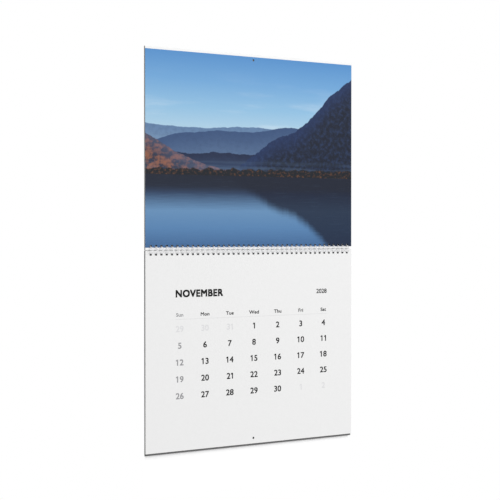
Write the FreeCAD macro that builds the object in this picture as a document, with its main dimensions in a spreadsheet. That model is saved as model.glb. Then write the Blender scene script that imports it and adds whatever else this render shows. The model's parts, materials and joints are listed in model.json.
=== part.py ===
"""Wire-bound wall calendar, hung open with one half above the binding and one half below it.

The frame's origin is the centre of the upper hanging hole, at mid-thickness of the upper half.
+X runs to the right along the binding, -Y faces the room and +Z is up.
"""

import FreeCAD, Part

import math
import os

import Sketcher
from FreeCAD import Placement, Rotation, Vector

os.makedirs("parts", exist_ok=True)
doc = FreeCAD.newDocument("wall_calendar")

# Driving dimensions in millimetres
SIZES = {
    "leaf_width": 355.6,
    "leaf_height": 279.4,
    "upper_leaves_thickness": 2.7,
    "front_cover_thickness": 0.5,
    "lower_leaves_thickness": 2.0,
    "back_board_thickness": 1.2,
    "back_board_overhang": 2.8,
    "binding_gap": 0.8,
    "fold_clearance": 0.3,
    "punch_pitch": 8.467,
    "punch_end_margin": 7.5,
    "punch_edge_margin": 1.9,
    "punch_side_play": 0.3,
    "punch_height_play": 1.8,
    "wire_width": 0.96,
    "wire_spacing": 1.9,
    "wire_clearance": 0.12,
    "wire_seam_gap": 0.3,
    "wire_tip_corner": 0.5,
    "hanging_hole_diameter": 3.2,
    "hanging_hole_inset": 8.0,
}

# The wire's section has this many sides, and each strand runs round the ring in this many bends
WIRE_SIDES = 6
RING_BENDS = 9


def make_sheet():
    """Writes the driving dimensions into the document's sheet, one named cell each."""
    cells = doc.addObject("Spreadsheet::Sheet", "Sizes")
    for row, (alias, size) in enumerate(SIZES.items(), start=1):
        cells.set(f"A{row}", alias)
        cells.set(f"B{row}", str(size))
        cells.setAlias(f"B{row}", alias)
    doc.recompute()
    return cells


sheet = make_sheet()

# Places of the two halves: their front faces are flush, and the ring lies in the gap between their edges
UPPER_STACK = "(Sizes.upper_leaves_thickness + Sizes.front_cover_thickness)"
LOWER_STACK = "(Sizes.lower_leaves_thickness + Sizes.back_board_thickness)"
FRONT_FACE_Y = f"(-{UPPER_STACK} / 2)"
UPPER_EDGE_Z = "(Sizes.hanging_hole_inset - Sizes.leaf_height)"
LOWER_EDGE_Z = f"({UPPER_EDGE_Z} - Sizes.binding_gap)"
RING_Y = f"({FRONT_FACE_Y} - Sizes.fold_clearance / 2)"
RING_Z = f"({UPPER_EDGE_Z} - Sizes.binding_gap / 2)"

# The ring clears the far corner of the paper strip between holes and edge, at every angle of the fold
STRIP_DEPTH = f"(max({UPPER_STACK}; {LOWER_STACK}) + Sizes.fold_clearance / 2)"
STRIP_EDGE = "(Sizes.binding_gap / 2 + Sizes.punch_edge_margin)"
STRIP_REACH = f"sqrt({STRIP_DEPTH} ^ 2 + {STRIP_EDGE} ^ 2)"
RING_INRADIUS = f"({STRIP_REACH} + Sizes.wire_clearance + Sizes.wire_width / 2)"
RING_RADIUS = f"({RING_INRADIUS} / cos({180 / RING_BENDS} deg))"

# The punched holes leave play round the pair of strands, and their top is measured from the punched edge
PUNCH_WIDTH = "(Sizes.wire_spacing + Sizes.wire_width + 2 * Sizes.punch_side_play)"
PUNCH_TOP = (
    f"({RING_RADIUS} + Sizes.wire_width / 2 + Sizes.punch_height_play - Sizes.binding_gap / 2)"
)
PUNCH_COUNT = "(floor((Sizes.leaf_width - 2 * Sizes.punch_end_margin) / Sizes.punch_pitch) + 1)"
PUNCH_RUN = f"(({PUNCH_COUNT} - 1) * Sizes.punch_pitch)"


def read(expression):
    """The number that an expression on the sheet gives."""
    result = sheet.evalExpression(expression)
    return float(getattr(result, "Value", result))


def upright_sketch(body, name, role="XZ_Plane"):
    """An empty sketch on one of the body's own upright planes."""
    plane = next(f for f in body.Origin.OriginFeatures if f.Role == role)
    sketch = body.newObject("Sketcher::SketchObject", name)
    sketch.AttachmentSupport = (plane, [""])
    sketch.MapMode = "FlatFace"
    return sketch


def bind(sketch, constraint, expression):
    """Adds a constraint whose size follows an expression on the sheet."""
    index = sketch.addConstraint(constraint)
    sketch.setExpression(f"Constraints[{index}]", expression)


def add_four_sides(sketch, corners):
    """Four lines joined end to end; the first is free, and the others are upright, level and upright."""
    for start, end in zip(corners, corners[1:] + corners[:1]):
        sketch.addGeometry(Part.LineSegment(start, end), False)
    for side in range(4):
        sketch.addConstraint(Sketcher.Constraint("Coincident", side, 2, (side + 1) % 4, 1))
    sketch.addConstraint(Sketcher.Constraint("Vertical", 1))
    sketch.addConstraint(Sketcher.Constraint("Horizontal", 2))
    sketch.addConstraint(Sketcher.Constraint("Vertical", 3))


def near_wall(depth):
    """How far a hole's wall lies from the punched edge, where it follows the ring at a depth behind its axis."""
    return f"(sqrt({STRIP_REACH} ^ 2 - ({depth}) ^ 2) - Sizes.binding_gap / 2)"


def add_outline(body, thickness, height):
    """The flat sheet stack: its punched edge lies on the local X axis, and it grows towards the room."""
    sketch = upright_sketch(body, body.Label + "_outline")
    add_four_sides(sketch, [Vector(x, z, 0) for x, z in ((-5, 0), (5, 0), (5, 5), (-5, 5))])
    sketch.addConstraint(Sketcher.Constraint("PointOnObject", 0, 1, -1))
    sketch.addConstraint(Sketcher.Constraint("Symmetric", 0, 1, 0, 2, -2))
    bind(sketch, Sketcher.Constraint("DistanceX", 0, 1, 0, 2, 10), "Sizes.leaf_width")
    bind(sketch, Sketcher.Constraint("DistanceY", 1, 1, 1, 2, 5), height)
    pad = body.newObject("PartDesign::Pad", body.Label + "_sheet")
    pad.Profile = sketch
    pad.setExpression("Length", thickness)


def add_punched_row(body, thickness, rear_y):
    """The row of punched holes; a hole's wall beside the binding slopes, so that it follows the ring."""
    sketch = upright_sketch(body, body.Label + "_punch", "YZ_Plane")
    sketch.setExpression("AttachmentOffset.Base.z", f"-{PUNCH_RUN} / 2")
    add_four_sides(sketch, [Vector(y, z, 0) for y, z in ((-3, 4), (0, 2), (0, 7), (-3, 7))])
    sketch.addConstraint(Sketcher.Constraint("PointOnObject", 0, 2, -2))
    rear_depth = f"{rear_y} - {RING_Y}"
    front_wall = near_wall(f"{rear_depth} - {thickness}")
    bind(sketch, Sketcher.Constraint("DistanceX", 0, 1, 0, 2, 3), thickness)
    bind(sketch, Sketcher.Constraint("DistanceY", -1, 1, 0, 1, 4), front_wall)
    bind(sketch, Sketcher.Constraint("DistanceY", -1, 1, 0, 2, 2), near_wall(rear_depth))
    bind(sketch, Sketcher.Constraint("DistanceY", -1, 1, 2, 1, 7), PUNCH_TOP)
    punch = body.newObject("PartDesign::Pocket", body.Label + "_first_hole")
    punch.Profile = sketch
    punch.SideType = "Symmetric"
    punch.setExpression("Length", PUNCH_WIDTH)
    row = body.newObject("PartDesign::LinearPattern", body.Label + "_hole_row")
    row.Originals = [punch]
    row.Direction = (sketch, ["N_Axis"])
    row.setExpression("Length", PUNCH_RUN)
    row.setExpression("Occurrences", PUNCH_COUNT)
    body.Tip = row


def add_hanging_hole(body):
    """The drilled hole near the free edge, at mid-width."""
    sketch = upright_sketch(body, body.Label + "_drill")
    sketch.addGeometry(Part.Circle(Vector(0, 5, 0), Vector(0, 0, 1), 1), False)
    sketch.addConstraint(Sketcher.Constraint("PointOnObject", 0, 3, -2))
    bind(sketch, Sketcher.Constraint("Diameter", 0, 2), "Sizes.hanging_hole_diameter")
    centre_height = "Sizes.leaf_height - Sizes.hanging_hole_inset"
    bind(sketch, Sketcher.Constraint("DistanceY", -1, 1, 0, 3, 5), centre_height)
    doc.recompute()
    hole = body.newObject("PartDesign::Hole", body.Label + "_hanging_hole")
    hole.Profile = sketch
    hole.DepthType = "ThroughAll"
    hole.Reversed = True
    hole.setExpression("Diameter", "Sizes.hanging_hole_diameter")


def make_plate(label, thickness, rear_y, hangs_down, height="Sizes.leaf_height", drilled=True):
    """One stack of leaves, a cover or a board: punched along the binding and drilled near its free edge."""
    body = doc.addObject("PartDesign::Body", label)
    add_outline(body, thickness, height)
    add_punched_row(body, thickness, rear_y)
    if drilled:
        add_hanging_hole(body)
    turn = 180 if hangs_down else 0
    body.Placement = Placement(Vector(0, 0, 0), Rotation(Vector(0, 1, 0), turn))
    body.setExpression("Placement.Base.y", rear_y)
    body.setExpression("Placement.Base.z", LOWER_EDGE_Z if hangs_down else UPPER_EDGE_Z)
    return body


def ring_point(across, angle, radius):
    """A point of the ring at a distance along the binding; angle 0 is at the wall side and 90 degrees on top."""
    return Vector(across, radius * math.cos(angle), radius * math.sin(angle))


def loop_path(middle, spacing, radius, seam_angle, tip_corner):
    """One hairpin loop: out of the link, round below, in front and above, across the tip and back again."""
    corner_angle = tip_corner / radius
    sweep = 2 * math.pi - 2 * seam_angle - corner_angle
    angles = [-seam_angle - sweep * bend / RING_BENDS for bend in range(RING_BENDS + 1)]
    left, right = middle - spacing / 2, middle + spacing / 2
    tip = [
        ring_point(left + tip_corner, seam_angle, radius),
        ring_point(right - tip_corner, seam_angle, radius),
    ]
    out = [ring_point(left, angle, radius) for angle in angles]
    back = [ring_point(right, angle, radius) for angle in reversed(angles)]
    return out + tip + back


def wire_path():
    """The whole wire about the ring's axis: one loop in each punched hole, with straight links between them."""
    pitch = read("Sizes.punch_pitch")
    radius = read(RING_RADIUS)
    strand_gap = read("Sizes.wire_width + Sizes.wire_seam_gap")
    seam_angle = math.asin(strand_gap / (2 * radius))
    first = -read(PUNCH_RUN) / 2
    count = round(read(PUNCH_COUNT))
    path = [ring_point(first - pitch / 2, -seam_angle, radius)]
    for index in range(count):
        middle = first + index * pitch
        path += loop_path(
            middle, read("Sizes.wire_spacing"), radius, seam_angle, read("Sizes.wire_tip_corner")
        )
    path.append(ring_point(-first + pitch / 2, -seam_angle, radius))
    return path


def mitred_sections(path, section):
    """The section at each point of the path, carried along it and cut at the plane that halves each corner."""
    directions = [(end - start).normalize() for start, end in zip(path, path[1:])]
    sections = [section]
    for corner, arriving, leaving in zip(path[1:], directions, directions[1:] + directions[-1:]):
        across = arriving + leaving
        slope = arriving.dot(across)
        sections.append([p + arriving * ((corner - p).dot(across) / slope) for p in sections[-1]])
    return sections


def flat_face(corners):
    """A flat face through the corners, in order."""
    return Part.Face(Part.makePolygon(corners + corners[:1]))


def make_wire(label):
    """The twin-loop binding wire: one many-sided section swept along one path, which turns through every hole."""
    path = wire_path()
    reach = read("Sizes.wire_width / 2")
    turns = [2 * math.pi * side / WIRE_SIDES for side in range(WIRE_SIDES)]
    section = [path[0] + Vector(0, reach * math.cos(turn), reach * math.sin(turn)) for turn in turns]
    sections = mitred_sections(path, section)
    faces = [flat_face(sections[0]), flat_face(sections[-1])]
    for near, far in zip(sections, sections[1:]):
        for side in range(WIRE_SIDES):
            after = (side + 1) % WIRE_SIDES
            faces.append(flat_face([near[side], near[after], far[after], far[side]]))
    shell = Part.makeShell(faces)
    shell.sewShape()
    solid = Part.makeSolid(shell)
    if solid.Volume < 0:
        solid.reverse()
    wire = doc.addObject("Part::Feature", label)
    wire.Shape = solid
    wire.Placement = Placement(Vector(0, read(RING_Y), read(RING_Z)), Rotation())
    return wire


def make_calendar():
    """All the pieces, front to rear in each half, and the wire that joins the halves."""
    cover_rear = f"{FRONT_FACE_Y} + {UPPER_STACK}"
    board_rear = f"{FRONT_FACE_Y} + {LOWER_STACK}"
    upper_rear = f"{FRONT_FACE_Y} + Sizes.upper_leaves_thickness"
    lower_rear = f"{FRONT_FACE_Y} + Sizes.lower_leaves_thickness"
    board_height = "Sizes.leaf_height + Sizes.back_board_overhang"
    return [
        make_plate("upper_leaves", "Sizes.upper_leaves_thickness", upper_rear, False),
        make_plate("front_cover", "Sizes.front_cover_thickness", cover_rear, False),
        make_plate("lower_leaves", "Sizes.lower_leaves_thickness", lower_rear, True),
        make_plate(
            "back_board", "Sizes.back_board_thickness", board_rear, True, board_height, False
        ),
        make_wire("binding_wire"),
    ]


def check_and_export(pieces):
    """Stops on any failed object or unsound shape, and otherwise writes each piece to its own file."""
    doc.recompute()
    for item in doc.Objects:
        if "Invalid" in item.State or "Error" in item.State:
            raise RuntimeError(f"{item.Name} failed: {item.State}")
    for piece in pieces:
        shape = piece.Shape
        if shape.isNull() or not shape.isValid() or len(shape.Solids) != 1:
            raise RuntimeError(f"{piece.Label} has no single sound solid")
        print(f"{piece.Label}: {shape.Volume:.1f} mm3, box {shape.BoundBox}")
        shape.exportStep(f"parts/{piece.Label}.step")


check_and_export(make_calendar())
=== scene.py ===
"""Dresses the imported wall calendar: separate leaves, round coated wire, printed pages, light and camera."""

import json
import math
import random

import bpy
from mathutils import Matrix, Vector


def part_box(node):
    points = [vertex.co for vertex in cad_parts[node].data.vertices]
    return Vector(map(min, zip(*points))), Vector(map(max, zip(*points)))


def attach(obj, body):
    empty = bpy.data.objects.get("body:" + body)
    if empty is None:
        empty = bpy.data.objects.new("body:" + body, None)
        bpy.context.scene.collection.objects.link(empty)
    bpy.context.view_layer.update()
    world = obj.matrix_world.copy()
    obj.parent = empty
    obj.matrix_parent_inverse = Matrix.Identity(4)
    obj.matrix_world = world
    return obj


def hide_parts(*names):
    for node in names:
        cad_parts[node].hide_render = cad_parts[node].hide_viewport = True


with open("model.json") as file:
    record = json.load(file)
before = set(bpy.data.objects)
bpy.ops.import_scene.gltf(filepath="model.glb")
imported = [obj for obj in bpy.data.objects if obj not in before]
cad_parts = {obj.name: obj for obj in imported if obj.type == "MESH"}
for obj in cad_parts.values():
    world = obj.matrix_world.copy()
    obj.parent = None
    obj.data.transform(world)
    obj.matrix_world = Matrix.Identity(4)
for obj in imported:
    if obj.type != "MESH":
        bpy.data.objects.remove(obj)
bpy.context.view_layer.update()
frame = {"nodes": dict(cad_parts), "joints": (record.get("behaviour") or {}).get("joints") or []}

MM = 0.001

# The leaves: punched along the binding and drilled near the free edge
PUNCH_PITCH = 8.467 * MM
PUNCH_COUNT = 41
PUNCH_WIDTH = 3.46 * MM
PUNCH_TOP = 6.84 * MM
STRIP_REACH = 4.06 * MM
PUNCH_CORNER = 0.6 * MM
CORNER_STEPS = 3
DRILL_RADIUS = 1.6 * MM
DRILL_INSET = 8.0 * MM
DRILL_STEPS = 32
UPPER_LEAF_COUNT = 10
LOWER_LEAF_COUNT = 7
LEAF_FILL = 0.93
LEAF_LEAN = 0.2 * MM
LEAF_SLACK = 0.04 * MM
LEAF_SEED = 41
BORDER_ZONE = 1.5 * MM

# The material numbers of a stack of leaves
FRONT_PRINT, PLAIN_PAPER, CUT_BORDER, HOLE_WALLS = range(4)

# The wire: one round strand that turns twice through every hole
WIRE_RADIUS = 0.46 * MM
WIRE_SPACING = 1.7 * MM
RING_RADIUS = 4.6 * MM
WIRE_SEAM = 0.63 * MM
LINK_FILLET = 0.7 * MM
WIRE_STEP = 0.75 * MM
LINK_STEPS = 4
TIP_STEPS = 6
WIRE_ROUND_STEPS = 2

# The picture: its bare margins, and the shore line as a share of its height
HEAD_MARGIN = 3.4 * MM
FOOT_MARGIN = 3.2 * MM
SHORE = 0.37

# The month page: places are measured from the left edge and down from the binding
COLUMN_FIRST = 54.6 * MM
COLUMN_STEP = 41.43 * MM
ROW_FIRST = 109.7 * MM
ROW_STEP = 23.4 * MM
DATE_HEIGHT = 8.5 * MM
WEEKDAY_DEPTH = 90.1 * MM
WEEKDAY_HEIGHT = 5.0 * MM
RULE_DEPTH = 96.4 * MM
RULE_LEFT = 47.7 * MM
RULE_RIGHT = 310.0 * MM
RULE_WIDTH = 0.35 * MM
TITLE_BASELINE = 65.8 * MM
TITLE_HEIGHT = 10.4 * MM
TITLE_LEFT = 48.6 * MM
TITLE_SPACING = 1.08
TITLE_WEIGHT = 0.58 * MM
TITLE_BREADTH = 1.06
DATE_WEIGHT = 0.25 * MM
DATE_BREADTH = 1.12
SMALL_WEIGHT = 0.17 * MM
SMALL_BREADTH = 1.22
YEAR_RIGHT = 309.0 * MM
YEAR_DEPTH = 62.6 * MM
YEAR_HEIGHT = 6.4 * MM
YEAR_BREADTH = 1.08
MONTH = "NOVEMBER"
YEAR = "2028"
WEEKDAYS = ("Sun", "Mon", "Tue", "Wed", "Thu", "Fri", "Sat")
FIRST_WEEKDAY = 3
DAYS_BEFORE = 31
DAYS = 30
WEEKS = 5

# The ink: a thin raised film, laid down at four places about the letters' own for bolder type
TYPE_ROUND_STEPS = 4
INK_THICKNESS = 0.04 * MM
INK_SINK = 0.01 * MM
INK_LAYER = 0.002 * MM
BOLD_SHIFTS = ((-1, -1), (1, -1), (-1, 1), (1, 1))

# The flag of a figure 1, as shares of the size of the type
FLAG_REACH = 0.13
FLAG_DROP = 0.09
FLAG_WIDTH = 0.1

# The camera, the staging and the light
CAMERA_PLACE = (-1.0944, -1.6412, -0.2452)
CAMERA_YAW = math.radians(33.58)
CAMERA_PITCH = math.radians(0.796)
CAMERA_LENS = 98.59
CAMERA_SENSOR = 36.0
FLOOR_LEVEL = -1.65
FLOOR_SIZE = 6.0
FLOOR_GLOW = 0.35
WALL_GAP = 5.6 * MM
WALL_INSET = 2.0 * MM
WALL_REACH = 60.0 * MM
WALL_GLOW = 0.3
GLOW_DEPTH = 28.0 * MM
WORLD_LIGHT = 0.72
KEY_PLACE = (1.2, -2.6, 0.9)
KEY_TARGET = (0, 0, -0.27)
KEY_SIZE = 1.8
KEY_POWER = 33

# The sockets of a Mix node that hold its two colours and its result
MIX_FIRST, MIX_SECOND, MIX_RESULT = 6, 7, 2

RING_CENTRE = Vector(frame["joints"][0]["pos_m"])
UPPER_LOW, UPPER_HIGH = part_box("upper_leaves")
LOWER_LOW, LOWER_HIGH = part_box("lower_leaves")
LEAF_WIDTH = UPPER_HIGH.x - UPPER_LOW.x
LEAF_LEFT = UPPER_LOW.x

rng = random.Random(LEAF_SEED)


def linear(red, green, blue):
    """A screen colour, each part from 0 to 1, as the linear colour that the shader works in."""
    return tuple(
        part / 12.92 if part <= 0.04045 else ((part + 0.055) / 1.055) ** 2.4 for part in (red, green, blue)
    )


class Shader:
    """A material and a short way to write its nodes."""

    def __init__(self, name):
        self.material = bpy.data.materials.new(name)
        self.material.use_nodes = True
        self.tree = self.material.node_tree
        self.surface = self.tree.nodes["Principled BSDF"]
        self.place = self.tree.nodes.new("ShaderNodeTexCoord").outputs["Object"]

    def feed(self, socket, value):
        """Links an output to a socket, or sets the socket to a plain value."""
        if isinstance(value, bpy.types.NodeSocket):
            self.tree.links.new(value, socket)
        elif socket.type == "RGBA":
            socket.default_value = (*value, 1)
        else:
            socket.default_value = value

    def math(self, operation, first, second):
        node = self.tree.nodes.new("ShaderNodeMath")
        node.operation = operation
        self.feed(node.inputs[0], first)
        self.feed(node.inputs[1], second)
        return node.outputs[0]

    def plus(self, first, second):
        return self.math("ADD", first, second)

    def minus(self, first, second):
        return self.math("SUBTRACT", first, second)

    def times(self, first, second):
        return self.math("MULTIPLY", first, second)

    def split(self, vector):
        """The three parts of a vector."""
        node = self.tree.nodes.new("ShaderNodeSeparateXYZ")
        self.feed(node.inputs[0], vector)
        return node.outputs

    def join(self, x, y, z):
        node = self.tree.nodes.new("ShaderNodeCombineXYZ")
        for socket, value in zip(node.inputs, (x, y, z)):
            self.feed(socket, value)
        return node.outputs[0]

    def noise(self, vector, scale, detail, roughness):
        """Cloudy noise, mostly between 0.3 and 0.7."""
        node = self.tree.nodes.new("ShaderNodeTexNoise")
        self.feed(node.inputs["Vector"], vector)
        node.inputs["Scale"].default_value = scale
        node.inputs["Detail"].default_value = detail
        node.inputs["Roughness"].default_value = roughness
        return node.outputs["Fac"]

    def span(self, value, low, high, out_low=0.0, out_high=1.0):
        """Maps one range of a value smoothly to another, and holds it at both ends."""
        node = self.tree.nodes.new("ShaderNodeMapRange")
        node.interpolation_type = "SMOOTHSTEP"
        for socket, number in zip(node.inputs, (value, low, high, out_low, out_high)):
            self.feed(socket, number)
        return node.outputs[0]

    def mix(self, share, first, second):
        """The first colour where the share is 0, and the second where it is 1."""
        node = self.tree.nodes.new("ShaderNodeMix")
        node.data_type = "RGBA"
        self.feed(node.inputs["Factor"], share)
        self.feed(node.inputs[MIX_FIRST], first)
        self.feed(node.inputs[MIX_SECOND], second)
        return node.outputs[MIX_RESULT]

    def ramp(self, value, stops):
        """Colours along a value, each at its own position."""
        node = self.tree.nodes.new("ShaderNodeValToRGB")
        self.feed(node.inputs[0], value)
        points = node.color_ramp.elements
        while len(points) < len(stops):
            points.new(0.5)
        for point, (position, colour) in zip(points, stops):
            point.position = position
            point.color = (*colour, 1)
        return node.outputs[0]

    def bump(self, height, strength, distance):
        """Raises the surface by a height, up to a distance in metres."""
        node = self.tree.nodes.new("ShaderNodeBump")
        node.inputs["Strength"].default_value = strength
        node.inputs["Distance"].default_value = distance
        self.feed(node.inputs["Height"], height)
        self.feed(self.surface.inputs["Normal"], node.outputs[0])

    def finish(self, **values):
        """Feeds the surface's own sockets, named with _ for each space, and gives the material."""
        for name, value in values.items():
            self.feed(self.surface.inputs[name.replace("_", " ")], value)
        return self.material


def paper_material(name, colour, roughness, gloss):
    """Sheet paper: cloudy formation at a few millimetres, and fibres that catch the light."""
    shader = Shader(name)
    clouds = shader.noise(shader.place, 260, 4, 0.6)
    fibres = shader.noise(shader.place, 5200, 3, 0.65)
    shade = tuple(part * 0.988 for part in colour)
    tone = shader.mix(shader.span(clouds, 0.35, 0.7), shade, colour)
    tone = shader.mix(shader.span(fibres, 0.3, 0.75, 0.03, 0.0), tone, (0.3, 0.29, 0.27))
    shader.bump(fibres, 0.25, 0.02 * MM)
    return shader.finish(
        Base_Color=tone,
        Roughness=shader.span(fibres, 0.3, 0.7, roughness - 0.06, roughness + 0.06),
        Specular_IOR_Level=gloss,
    )


def edge_material(name, light, dark):
    """Cut edges of a stack in grey tones that are painted shade: fine streaks along each leaf, with painted
    shade between the leaves, and a little dust in the cuts.
    """
    shader = Shader(name)
    x, y, z = shader.split(shader.place)
    along = shader.join(shader.times(x, 18), shader.times(y, 3800), shader.times(z, 18))
    streaks = shader.noise(along, 1.0, 5, 0.6)
    dust = shader.noise(shader.place, 900, 3, 0.7)
    # Painted shade: the streaks run from the light tone to the dark one, darker in the gaps between the
    # leaves
    tone = shader.mix(shader.span(streaks, 0.32, 0.68), dark, light)
    tone = shader.mix(shader.span(dust, 0.5, 0.8, 0.0, 0.18), tone, dark)
    shader.bump(streaks, 0.4, 0.04 * MM)
    return shader.finish(Base_Color=tone, Roughness=0.85, Specular_IOR_Level=0.2)


def board_material(name):
    """Uncoated grey board: mixed fibres, light and dark specks and a matt pressed face."""
    shader = Shader(name)
    x, y, z = shader.split(shader.place)
    fibres = shader.noise(shader.join(shader.times(x, 0.35), y, z), 2400, 5, 0.7)
    clouds = shader.noise(shader.place, 120, 3, 0.6)
    specks = shader.noise(shader.place, 1700, 2, 0.8)
    dark, light = linear(0.405, 0.405, 0.41), linear(0.425, 0.425, 0.425)
    tone = shader.mix(shader.span(clouds, 0.3, 0.7), dark, light)
    tone = shader.mix(shader.span(fibres, 0.45, 0.72, 0.0, 0.4), tone, linear(0.56, 0.55, 0.54))
    tone = shader.mix(shader.span(specks, 0.66, 0.74, 0.0, 0.6), tone, linear(0.2, 0.2, 0.21))
    shader.bump(fibres, 0.5, 0.06 * MM)
    return shader.finish(
        Base_Color=tone, Roughness=shader.span(fibres, 0.3, 0.7, 0.78, 0.95), Specular_IOR_Level=0.2
    )


def wire_material(name):
    """Nylon-coated wire: a thick satin white skin, a little duller where it has been rubbed."""
    shader = Shader(name)
    rub = shader.noise(shader.place, 700, 3, 0.6)
    grain = shader.noise(shader.place, 6000, 2, 0.5)
    tone = shader.mix(shader.span(rub, 0.4, 0.75), linear(0.97, 0.97, 0.975), linear(0.92, 0.92, 0.93))
    shader.bump(grain, 0.15, 0.02 * MM)
    return shader.finish(
        Base_Color=tone,
        Roughness=shader.span(rub, 0.35, 0.75, 0.26, 0.42),
        Specular_IOR_Level=0.5,
        Coat_Weight=0.25,
        Coat_Roughness=0.2,
    )


def ink_material(name, colour):
    """Printing ink: a thin film, slightly uneven where it sinks into the paper."""
    shader = Shader(name)
    spread = shader.noise(shader.place, 3200, 3, 0.7)
    worn = tuple(part + (0.9 - part) * 0.05 for part in colour)
    tone = shader.mix(shader.span(spread, 0.45, 0.75), colour, worn)
    return shader.finish(
        Base_Color=tone, Roughness=shader.span(spread, 0.3, 0.7, 0.42, 0.55), Specular_IOR_Level=0.1
    )


# The picture's hill lines: seed, base, slope, swell, scale of the swell and size of the detail
HEATH = (21.0, 0.58, -0.50, 0.12, 3.0, 0.03)
HEADLAND = (30.0, 0.02, 0.90, 0.20, 3.2, 0.05)
THICKET = (40.0, SHORE + 0.035, 0.01, 0.05, 26.0, 0.03)

# The far hills: the line of each, the colours of its top and foot, and the fall from one to the other
FAR_HILLS = (
    ((1.0, 0.640, -0.05, 0.16, 2.2, 0.018), linear(0.38, 0.50, 0.65), linear(0.50, 0.61, 0.73), 0.14),
    ((7.0, 0.575, 0.04, 0.20, 2.8, 0.022), linear(0.22, 0.32, 0.48), linear(0.33, 0.43, 0.57), 0.15),
    ((13.0, 0.500, -0.02, 0.16, 3.6, 0.026), linear(0.09, 0.14, 0.26), linear(0.19, 0.27, 0.40), 0.12),
)

# The picture's tones, by height
SKY_TONES = (
    (0.42, linear(0.76, 0.84, 0.89)),
    (0.58, linear(0.71, 0.83, 0.90)),
    (0.72, linear(0.57, 0.75, 0.88)),
    (0.86, linear(0.44, 0.65, 0.84)),
    (1.0, linear(0.33, 0.56, 0.79)),
)
WATER_TONES = (
    (0.0, linear(0.25, 0.40, 0.58)),
    (0.10, linear(0.34, 0.51, 0.69)),
    (0.19, linear(0.40, 0.56, 0.72)),
    (0.28, linear(0.17, 0.25, 0.37)),
    (SHORE, linear(0.09, 0.13, 0.20)),
)


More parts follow.
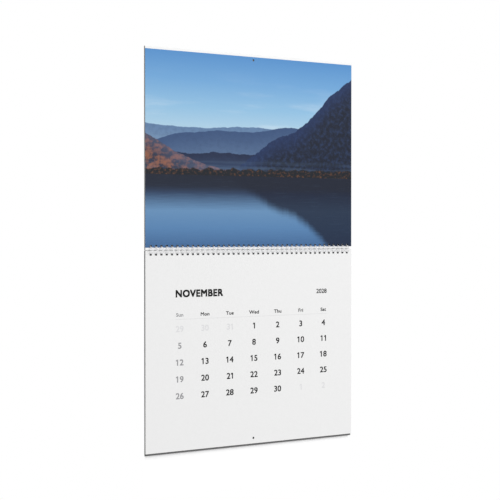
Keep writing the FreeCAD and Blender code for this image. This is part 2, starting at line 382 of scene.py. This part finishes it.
class Picture(Shader):
    """Rounded hazy hills that step back over calm water, in fields of colour.

    Places are shares of the picture's width and height. Each layer is laid over the ones behind it.
    """

    def __init__(self, name):
        super().__init__(name)
        x, _, z = self.split(self.place)
        low = UPPER_LOW.z + FOOT_MARGIN
        high = UPPER_HIGH.z - HEAD_MARGIN
        self.across = self.math("DIVIDE", self.minus(x, LEAF_LEFT), LEAF_WIDTH)
        self.height = self.math("DIVIDE", self.minus(z, low), high - low)
        self.flat = self.join(self.across, self.height, 0.0)

    def streaks(self, stretch, seed, scale, detail, roughness):
        """Noise whose forms are drawn out level where the stretch is over 1."""
        place = self.join(self.across, self.times(self.height, stretch), seed)
        return self.noise(place, scale, detail, roughness)

    def under_ridge(self, height, seed, base, slope, swell, swell_scale, detail_size):
        """How far a height lies under one hill line."""
        long_wave = self.noise(self.join(self.across, seed, 0.0), swell_scale, 1, 0.4)
        short_wave = self.noise(self.join(self.across, seed + 3.0, 0.0), swell_scale * 9, 6, 0.6)
        top = self.plus(self.times(self.across, slope), base)
        top = self.plus(top, self.times(self.minus(long_wave, 0.5), swell))
        top = self.plus(top, self.times(self.minus(short_wave, 0.5), detail_size))
        return self.minus(top, height)

    def sky(self):
        """Deep blue above and pale near the hills, with a thin veil of cloud."""
        veil = self.streaks(5.0, 4.0, 2.6, 5, 0.55)
        fade = self.span(self.height, 0.95, 0.6)
        share = self.times(self.span(veil, 0.5, 0.78, 0.0, 0.4), fade)
        return self.mix(share, self.ramp(self.height, SKY_TONES), linear(0.86, 0.91, 0.95))

    def add_far_hills(self, scene):
        """Three hazy lines of hills, each nearer one lower and darker."""
        texture = self.span(self.noise(self.flat, 46, 6, 0.62), 0.4, 0.7, 0.0, 0.2)
        for line, top_colour, foot_colour, fade in FAR_HILLS:
            under = self.under_ridge(self.height, *line)
            colour = self.mix(self.span(under, 0.0, fade), top_colour, foot_colour)
            colour = self.mix(texture, colour, linear(0.16, 0.24, 0.38))
            scene = self.mix(self.span(under, 0.0, 0.004), scene, colour)
        return scene

    def add_heath(self, scene):
        """A slope on the left with patches of rust and shade."""
        under = self.under_ridge(self.height, *HEATH)
        patches = self.span(self.noise(self.flat, 20, 7, 0.65), 0.42, 0.60)
        colour = self.mix(patches, linear(0.13, 0.16, 0.24), linear(0.55, 0.35, 0.26))
        haze = self.span(under, 0.0, 0.12, 0.4, 0.0)
        colour = self.mix(haze, colour, linear(0.36, 0.40, 0.52))
        return self.mix(self.span(under, 0.0, 0.005), scene, colour)

    def add_headland(self, scene):
        """A dark wooded height on the right."""
        under = self.under_ridge(self.height, *HEADLAND)
        woods = self.span(self.streaks(0.7, 2.0, 60, 7, 0.7), 0.42, 0.68)
        colour = self.mix(woods, linear(0.04, 0.08, 0.16), linear(0.13, 0.20, 0.33))
        haze = self.span(under, 0.0, 0.14, 0.5, 0.0)
        colour = self.mix(haze, colour, linear(0.12, 0.22, 0.42))
        return self.mix(self.span(under, 0.0, 0.005), scene, colour)

    def add_mist(self, scene):
        """Thin mist that drifts low over the shore."""
        low_air = self.span(self.height, SHORE + 0.10, SHORE + 0.03)
        drift = self.span(self.streaks(16.0, 9.0, 3.0, 4, 0.5), 0.35, 0.7, 0.0, 0.4)
        return self.mix(self.times(low_air, drift), scene, linear(0.38, 0.48, 0.60))

    def add_thicket(self, scene):
        """The low dark bushes along the shore."""
        under = self.under_ridge(self.height, *THICKET)
        leaves = self.span(self.noise(self.flat, 70, 5, 0.7), 0.5, 0.66)
        colour = self.mix(leaves, linear(0.05, 0.08, 0.12), linear(0.36, 0.24, 0.17))
        return self.mix(self.span(under, 0.0, 0.006), scene, colour)

    def water(self):
        """Calm water that mirrors the headland and the near bank, with a few glints."""
        ripple = self.times(self.minus(self.streaks(26.0, 5.0, 9.0, 5, 0.6), 0.5), 0.04)
        colour = self.ramp(self.plus(self.height, ripple), WATER_TONES)
        mirrored = self.minus(self.plus(2 * SHORE, ripple), self.height)
        stretched = self.plus(self.times(self.minus(mirrored, SHORE), 1.15), SHORE)
        reflected = self.span(self.under_ridge(stretched, *HEADLAND), -0.03, 0.05, 0.0, 0.92)
        colour = self.mix(reflected, colour, linear(0.04, 0.09, 0.19))
        near_bank = self.span(mirrored, SHORE + 0.10, SHORE + 0.05, 0.0, 0.85)
        colour = self.mix(near_bank, colour, linear(0.07, 0.10, 0.17))
        glint = self.span(self.streaks(60.0, 1.0, 7.0, 3, 0.6), 0.6, 0.75, 0.0, 0.15)
        return self.mix(glint, colour, linear(0.45, 0.58, 0.72))


def picture_material(name):
    """The printed picture on coated paper, with a bare margin above and below it."""
    picture = Picture(name)
    land = picture.add_far_hills(picture.sky())
    land = picture.add_headland(picture.add_heath(land))
    land = picture.add_thicket(picture.add_mist(land))
    scene = picture.mix(picture.span(picture.height, SHORE, SHORE + 0.003), picture.water(), land)
    grain = picture.noise(picture.place, 2600, 2, 0.7)
    scene = picture.mix(picture.span(grain, 0.4, 0.8, 0.0, 0.02), scene, (0.6, 0.65, 0.7))
    inside_foot = picture.math("GREATER_THAN", picture.height, 0.0)
    inside_head = picture.math("LESS_THAN", picture.height, 1.0)
    scene = picture.mix(picture.times(inside_foot, inside_head), linear(0.965, 0.965, 0.965), scene)
    picture.bump(grain, 0.1, 0.01 * MM)
    return picture.finish(
        Base_Color=scene, Roughness=picture.span(grain, 0.3, 0.7, 0.36, 0.44), Specular_IOR_Level=0.15
    )


class Pile:
    """Collects many small meshes into one object, each with its own material numbers."""

    def __init__(self):
        self.points, self.faces, self.slots = [], [], []

    def add(self, mesh, move, slot_of=lambda face: 0):
        """Adds a mesh with its points moved, and asks for the material number of each face."""
        first = len(self.points)
        self.points += [move(vertex.co) for vertex in mesh.vertices]
        for face in mesh.polygons:
            self.faces.append([first + index for index in face.vertices])
            self.slots.append(slot_of(face))

    def build(self, name, materials):
        """Makes one named object in the scene out of all that was added."""
        mesh = bpy.data.meshes.new(name)
        mesh.from_pydata(self.points, [], self.faces)
        for material in materials:
            mesh.materials.append(material)
        mesh.polygons.foreach_set("material_index", self.slots)
        mesh.validate()
        piece = bpy.data.objects.new(name, mesh)
        bpy.context.scene.collection.objects.link(piece)
        return piece


def mesh_of(data):
    """The final mesh of a curve or text, which stands in the scene only while it is read."""
    holder = bpy.data.objects.new("holder", data)
    bpy.context.scene.collection.objects.link(holder)
    bpy.context.view_layer.update()
    evaluated = holder.evaluated_get(bpy.context.evaluated_depsgraph_get())
    mesh = bpy.data.meshes.new_from_object(evaluated)
    bpy.data.objects.remove(holder)
    return mesh


def filled_outline(outlines, thickness):
    """A flat plate between the first outline and the holes that follow, in the plane of X and Y."""
    curve = bpy.data.curves.new("outline", "CURVE")
    curve.dimensions = "2D"
    curve.fill_mode = "BOTH"
    curve.extrude = thickness / 2
    for outline in outlines:
        spline = curve.splines.new("POLY")
        spline.points.add(len(outline) - 1)
        for point, (x, y) in zip(spline.points, outline):
            point.co = (x, y, 0, 1)
        spline.use_cyclic_u = True
    return mesh_of(curve)


def rectangle(left, right, low, high, corner=0.0):
    """A rectangle's outline, with rounded corners where a radius is given."""
    if not corner:
        return [(left, low), (right, low), (right, high), (left, high)]
    centres = [(right, high), (left, high), (left, low), (right, low)]
    outline = []
    for quarter, (x, y) in enumerate(centres):
        centre_x = x - math.copysign(corner, x - (left + right) / 2)
        centre_y = y - math.copysign(corner, y - (low + high) / 2)
        for step in range(CORNER_STEPS + 1):
            turn = math.pi / 2 * (quarter + step / CORNER_STEPS)
            outline.append((centre_x + corner * math.cos(turn), centre_y + corner * math.sin(turn)))
    return outline


def leaf_outlines(edge, away, height, wall, lean, slack, trim):
    """One leaf: its border, the row of punched holes beside the binding edge and the drilled hole.

    The border is moved aside by the lean and cut back by the trim, and the slack moves the punched holes.
    """
    free = edge + away * (height - trim)
    low, high = sorted((edge, free))
    outlines = [rectangle(LEAF_LEFT + trim + lean, -LEAF_LEFT - trim + lean, low, high)]
    near, far = sorted((edge + away * wall, edge + away * PUNCH_TOP))
    for index in range(PUNCH_COUNT):
        middle = (index - (PUNCH_COUNT - 1) / 2) * PUNCH_PITCH + slack
        sides = (middle - PUNCH_WIDTH / 2, middle + PUNCH_WIDTH / 2)
        outlines.append(rectangle(*sides, near, far, PUNCH_CORNER))
    drill = edge + away * (height - DRILL_INSET)
    turns = [2 * math.pi * step / DRILL_STEPS for step in range(DRILL_STEPS)]
    circle = [(DRILL_RADIUS * math.cos(turn), drill + DRILL_RADIUS * math.sin(turn)) for turn in turns]
    return outlines + [circle]


def leaf_stack(name, low, high, count, hangs_down, materials):
    """Separate leaves in the space of one solid stack; behind the front one the pile leans a little."""
    pile = Pile()
    pitch = (high.y - low.y) / count
    edge, away = (high.z, -1) if hangs_down else (low.z, 1)

    def slot_of(face, front_leaf):
        """The print or page in front, plain paper behind, the cut border, or the walls of the holes."""
        if abs(face.normal.z) > 0.5:
            return FRONT_PRINT if front_leaf and face.normal.z > 0 else PLAIN_PAPER
        x, y, _ = face.center
        inset = min(-LEAF_LEFT - abs(x), y - low.z, high.z - y)
        return CUT_BORDER if inset < BORDER_ZONE else HOLE_WALLS

    for index in range(count):
        front_leaf = index == 0
        lean = slack = trim = 0.0
        if not front_leaf:
            share = (index - 1) / (count - 2)
            lean = LEAF_LEAN * (1 - 2 * share) + rng.uniform(-LEAF_SLACK, LEAF_SLACK)
            slack = rng.uniform(-LEAF_SLACK, LEAF_SLACK)
            trim = abs(lean) + rng.uniform(0, 3 * LEAF_SLACK)
        front = low.y + pitch * index
        # The walls of the holes beside the binding lie on a cylinder about the ring's centre
        wall = math.sqrt(STRIP_REACH**2 - (front - RING_CENTRE.y) ** 2) - abs(edge - RING_CENTRE.z)
        outlines = leaf_outlines(edge, away, high.z - low.z, wall, lean, slack, trim)
        leaf = filled_outline(outlines, pitch * LEAF_FILL)
        middle = front + pitch * LEAF_FILL / 2
        pile.add(
            leaf,
            lambda co, middle=middle: (co.x, middle - co.z, co.y),
            lambda face, front_leaf=front_leaf: slot_of(face, front_leaf),
        )
    return pile.build(name, materials)


def loop_track():
    """One loop of the wire laid flat: places across the binding, and along the ring to the tip and back."""
    side = WIRE_SPACING / 2
    start = -WIRE_SEAM
    end = WIRE_SEAM - 2 * math.pi * RING_RADIUS
    track = []
    for step in range(LINK_STEPS + 1):
        turn = math.pi / 2 * step / LINK_STEPS
        across = -side - LINK_FILLET + LINK_FILLET * math.sin(turn)
        track.append((across, start - LINK_FILLET + LINK_FILLET * math.cos(turn)))
    run = start - LINK_FILLET - (end + side)
    steps = round(run / WIRE_STEP)
    track += [(-side, start - LINK_FILLET - run * step / steps) for step in range(1, steps + 1)]
    for step in range(1, TIP_STEPS + 1):
        turn = math.pi / 2 * step / TIP_STEPS
        track.append((-side * math.cos(turn), end + side - side * math.sin(turn)))
    return track + [(-across, along) for across, along in reversed(track[:-1])]


def binding_wire(name, material):
    """The twin-loop wire: one round strand that runs round the ring out and back again in every hole."""
    first = -(PUNCH_COUNT - 1) / 2 * PUNCH_PITCH
    loop = loop_track()
    flat = [(first - PUNCH_PITCH / 2, -WIRE_SEAM)]
    for index in range(PUNCH_COUNT):
        flat += [(first + index * PUNCH_PITCH + across, along) for across, along in loop]
    flat.append((-first + PUNCH_PITCH / 2, -WIRE_SEAM))
    curve = bpy.data.curves.new("wire_line", "CURVE")
    curve.dimensions = "3D"
    curve.bevel_depth = WIRE_RADIUS
    curve.bevel_resolution = WIRE_ROUND_STEPS
    curve.use_fill_caps = True
    spline = curve.splines.new("POLY")
    spline.points.add(len(flat) - 1)
    for point, (across, along) in zip(spline.points, flat):
        angle = along / RING_RADIUS
        y = RING_CENTRE.y + RING_RADIUS * math.cos(angle)
        z = RING_CENTRE.z + RING_RADIUS * math.sin(angle)
        point.co = (across, y, z, 1)
    pile = Pile()
    pile.add(mesh_of(curve), tuple)
    wire = pile.build(name, [material])
    wire.data.polygons.foreach_set("use_smooth", [True] * len(wire.data.polygons))
    return wire


class Page:
    """The printing on the month page, one pile of letters for each ink."""

    def __init__(self):
        """Measures the built-in type: the height of a capital and the breadth of a stem."""
        self.inks = {}
        self.capital = max(vertex.co.y for vertex in self.letters("H").vertices)
        stem_edges = [vertex.co.x for vertex in self.letters("1").vertices]
        self.stem = max(stem_edges) - min(stem_edges)

    def letters(self, words, spacing=1.0):
        """A line of type, one unit thick about its middle."""
        text = bpy.data.curves.new("words", "FONT")
        text.body = words
        text.space_character = spacing
        text.resolution_u = TYPE_ROUND_STEPS
        text.extrude = 0.5
        return mesh_of(text)

    def flags(self, words, spacing):
        """A short sloping stroke at the top of each figure 1, which is a bare stem in the built-in type."""
        strokes = []
        for end, letter in enumerate(words, start=1):
            if letter == "1":
                part = self.letters(words[:end], spacing)
                stem = max(vertex.co.x for vertex in part.vertices) - self.stem
                tip = stem - FLAG_REACH
                upper = [(stem, self.capital), (tip, self.capital - FLAG_DROP)]
                lower = [(x, y - FLAG_WIDTH) for x, y in reversed(upper)]
                strokes.append(filled_outline([upper + lower], 1.0))
        return strokes

    def write(self, ink, words, height, baseline, place, weight, breadth, align=0.5, spacing=1.0):
        """Sets words at a place on their line: their left end, middle or right end, as align says."""
        meshes = [self.letters(words, spacing), *self.flags(words, spacing)]
        xs = [vertex.co.x for mesh in meshes for vertex in mesh.vertices]
        tall = (height - 2 * weight) / self.capital
        wide = tall * breadth
        start = LEAF_LEFT + place - (min(xs) + (max(xs) - min(xs)) * align) * wide
        floor = LOWER_LOW.y + INK_SINK
        foot = RING_CENTRE.z - baseline + weight
        pile = self.inks.setdefault(ink, Pile())
        for layer, (aside, above) in enumerate(BOLD_SHIFTS):
            x, z = start + aside * weight, foot + above * weight
            y = floor - layer * INK_LAYER

            def move(co, x=x, y=y, z=z):
                return x + co.x * wide, y - (co.z + 0.5) * INK_THICKNESS, z + co.y * tall

            for mesh in meshes:
                pile.add(mesh, move)

    def rule(self, ink, left, right, depth, width):
        """A thin straight line across the page."""
        mesh = filled_outline([rectangle(left, right, -depth - width / 2, -depth + width / 2)], 1.0)
        floor = LOWER_LOW.y + INK_SINK
        self.inks.setdefault(ink, Pile()).add(
            mesh,
            lambda co: (LEAF_LEFT + co.x, floor - (co.z + 0.5) * INK_THICKNESS, RING_CENTRE.z + co.y),
        )


def month_page():
    """The month's name, the year, the names of the weekdays and the grid of dates."""
    page = Page()
    title = (TITLE_HEIGHT, TITLE_BASELINE, TITLE_LEFT, TITLE_WEIGHT, TITLE_BREADTH)
    page.write("black", MONTH, *title, align=0.0, spacing=TITLE_SPACING)
    baseline = YEAR_DEPTH + YEAR_HEIGHT / 2
    page.write("dark", YEAR, YEAR_HEIGHT, baseline, YEAR_RIGHT, SMALL_WEIGHT, YEAR_BREADTH, align=1.0)
    page.rule("rule", RULE_LEFT, RULE_RIGHT, RULE_DEPTH, RULE_WIDTH)
    for column, day_name in enumerate(WEEKDAYS):
        middle = COLUMN_FIRST + column * COLUMN_STEP
        column_ink = "dark" if column else "sunday"
        baseline = WEEKDAY_DEPTH + WEEKDAY_HEIGHT / 2
        page.write(column_ink, day_name, WEEKDAY_HEIGHT, baseline, middle, SMALL_WEIGHT, SMALL_BREADTH)
        for week in range(WEEKS):
            day = len(WEEKDAYS) * week + column + 1 - FIRST_WEEKDAY
            ink = column_ink if 1 <= day <= DAYS else "faint"
            if day < 1:
                day += DAYS_BEFORE
            elif day > DAYS:
                day -= DAYS
            baseline = ROW_FIRST + week * ROW_STEP + DATE_HEIGHT / 2
            page.write(ink, str(day), DATE_HEIGHT, baseline, middle, DATE_WEIGHT, DATE_BREADTH)
    return page


def add_printing():
    """Each ink is a piece of its own that rides with the lower half."""
    inks = {
        "black": linear(0.03, 0.03, 0.03),
        "dark": linear(0.07, 0.07, 0.075),
        "sunday": linear(0.60, 0.60, 0.61),
        "faint": linear(0.882, 0.882, 0.887),
        "rule": linear(0.84, 0.84, 0.845),
    }
    page = month_page()
    for ink, colour in inks.items():
        piece = page.inks[ink].build(f"printing_{ink}", [ink_material(f"ink_{ink}", colour)])
        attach(piece, "lower_half")


def dress_node(name, material):
    """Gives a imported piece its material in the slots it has."""
    node = frame["nodes"][name]
    if not node.data.materials:
        node.data.materials.append(material)
    for index in range(len(node.data.materials)):
        node.data.materials[index] = material


def add_calendar():
    """All the pieces that show, each on its body."""
    white = linear(0.945, 0.945, 0.945)
    paper = paper_material("leaf_paper", white, 0.6, 0.3)
    # Painted shade: the cut edges of the white leaves are grey, for the shade on the sides of the stack
    edges = edge_material("leaf_edges_painted_shade", linear(0.53, 0.53, 0.53), linear(0.31, 0.31, 0.31))
    # Painted shade: the walls of the punched holes are near black, for the shade inside the holes
    walls = edge_material("punched_walls_painted_shade", linear(0.13, 0.13, 0.13), linear(0.06, 0.06, 0.06))
    page = paper_material("page_paper", white, 0.6, 0.3)
    picture = picture_material("picture_print")

    upper_materials = [picture, paper, edges, walls]
    upper = leaf_stack("upper_leaf_stack", UPPER_LOW, UPPER_HIGH, UPPER_LEAF_COUNT, False, upper_materials)
    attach(upper, "upper_half")
    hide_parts("upper_leaves")

    lower_materials = [page, paper, edges, walls]
    lower = leaf_stack("lower_leaf_stack", LOWER_LOW, LOWER_HIGH, LOWER_LEAF_COUNT, True, lower_materials)
    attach(lower, "lower_half")
    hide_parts("lower_leaves")

    wire = binding_wire("twin_loop_wire", wire_material("wire_coating"))
    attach(wire, "upper_half")
    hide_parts("binding_wire")

    dress_node("front_cover", paper_material("cover_card", linear(0.92, 0.92, 0.915), 0.45, 0.4))
    dress_node("back_board", board_material("grey_board"))
    add_printing()


def add_floor():
    """A plain pale floor, well below the calendar, that shows as white and keeps the shadow."""
    bpy.ops.mesh.primitive_plane_add(size=FLOOR_SIZE, location=(0, 0, FLOOR_LEVEL))
    floor = bpy.context.object
    floor.name = "floor"
    shader = Shader("pale_floor")
    shader.finish(Base_Color=linear(0.93, 0.93, 0.93), Roughness=0.8)
    path = shader.tree.nodes.new("ShaderNodeLightPath")
    shader.feed(shader.surface.inputs["Emission Color"], (1.0, 1.0, 1.0))
    glow = shader.times(path.outputs["Is Camera Ray"], FLOOR_GLOW)
    shader.feed(shader.surface.inputs["Emission Strength"], glow)
    floor.data.materials.append(shader.material)


def add_wall():
    """A pale wall close behind, so that the open holes look into shade.

    It is clear from behind, and clear to light on its first bounce, so that the calendar's back stays lit
    in other views. Only the camera and light that has bounced more often meet it.
    """
    top = UPPER_HIGH.z - WALL_INSET
    foot = LOWER_LOW.z - WALL_REACH
    centre = (0, RING_CENTRE.y + WALL_GAP, (top + foot) / 2)
    bpy.ops.mesh.primitive_plane_add(size=1, location=centre, rotation=(math.pi / 2, 0, 0))
    wall = bpy.context.object
    wall.name = "wall"
    wall.scale = (LEAF_WIDTH - 2 * WALL_INSET, top - foot, 1)
    shader = Shader("pale_wall")
    shader.finish(Base_Color=(1.0, 1.0, 1.0), Roughness=0.9)
    path = shader.tree.nodes.new("ShaderNodeLightPath")
    seen = path.outputs["Is Camera Ray"]
    # Painted light: for the camera the wall glows in its lowest part, fading out up to the calendar's foot,
    # and does not glow behind the calendar
    height = shader.times(shader.plus(shader.split(shader.place)[1], 0.5), top - foot)
    glow = shader.span(height, WALL_REACH - GLOW_DEPTH, WALL_REACH, WALL_GLOW, 0.0)
    shader.feed(shader.surface.inputs["Emission Color"], (1.0, 1.0, 1.0))
    shader.feed(shader.surface.inputs["Emission Strength"], shader.times(seen, glow))
    sides = shader.tree.nodes.new("ShaderNodeNewGeometry")
    first_bounce = shader.math("LESS_THAN", path.outputs["Ray Depth"], 1.5)
    passing = shader.times(first_bounce, shader.minus(1.0, seen))
    open_share = shader.math("MAXIMUM", sides.outputs["Backfacing"], passing)
    clear = shader.tree.nodes.new("ShaderNodeBsdfTransparent")
    blend = shader.tree.nodes.new("ShaderNodeMixShader")
    shader.tree.links.new(open_share, blend.inputs[0])
    shader.tree.links.new(shader.surface.outputs[0], blend.inputs[1])
    shader.tree.links.new(clear.outputs[0], blend.inputs[2])
    shader.tree.links.new(blend.outputs[0], shader.tree.nodes["Material Output"].inputs[0])
    wall.data.materials.append(shader.material)


def add_world():
    """White where the camera, gloss or glass looks at it, and a plain soft grey as light."""
    world = bpy.data.worlds.new("studio")
    bpy.context.scene.world = world
    world.use_nodes = True
    tree = world.node_tree
    background = tree.nodes["Background"]
    path = tree.nodes.new("ShaderNodeLightPath")
    seen = tree.nodes.new("ShaderNodeMath")
    seen.operation = "MAXIMUM"
    seen_glossy = tree.nodes.new("ShaderNodeMath")
    seen_glossy.operation = "MAXIMUM"
    tree.links.new(path.outputs["Is Camera Ray"], seen_glossy.inputs[0])
    tree.links.new(path.outputs["Is Glossy Ray"], seen_glossy.inputs[1])
    tree.links.new(seen_glossy.outputs[0], seen.inputs[0])
    tree.links.new(path.outputs["Is Transmission Ray"], seen.inputs[1])
    colour = tree.nodes.new("ShaderNodeMix")
    colour.data_type = "RGBA"
    tree.links.new(seen.outputs[0], colour.inputs["Factor"])
    colour.inputs[MIX_FIRST].default_value = (WORLD_LIGHT, WORLD_LIGHT, WORLD_LIGHT, 1)
    colour.inputs[MIX_SECOND].default_value = (1, 1, 1, 1)
    tree.links.new(colour.outputs[MIX_RESULT], background.inputs["Color"])
    background.inputs["Strength"].default_value = 1.0


def add_lamp(name, place, target, size, energy):
    """A large soft lamp that points at a place."""
    lamp = bpy.data.lights.new(name, "AREA")
    lamp.shape = "SQUARE"
    lamp.size = size
    lamp.energy = energy
    holder = bpy.data.objects.new(name, lamp)
    holder.location = place
    holder.rotation_euler = (Vector(target) - Vector(place)).to_track_quat("-Z", "Y").to_euler()
    bpy.context.scene.collection.objects.link(holder)


def add_camera():
    """The photograph's view: from the left, a little above the middle."""
    camera = bpy.data.cameras.new("camera")
    camera.sensor_width = CAMERA_SENSOR
    camera.lens = CAMERA_LENS
    holder = bpy.data.objects.new("camera", camera)
    holder.location = CAMERA_PLACE
    holder.rotation_euler = (math.pi / 2 - CAMERA_PITCH, 0, -CAMERA_YAW)
    bpy.context.scene.collection.objects.link(holder)
    bpy.context.scene.camera = holder


add_calendar()
add_floor()
add_wall()
add_world()
add_lamp("key", KEY_PLACE, KEY_TARGET, KEY_SIZE, KEY_POWER)
add_camera()
bpy.context.scene.view_settings.view_transform = "Standard"
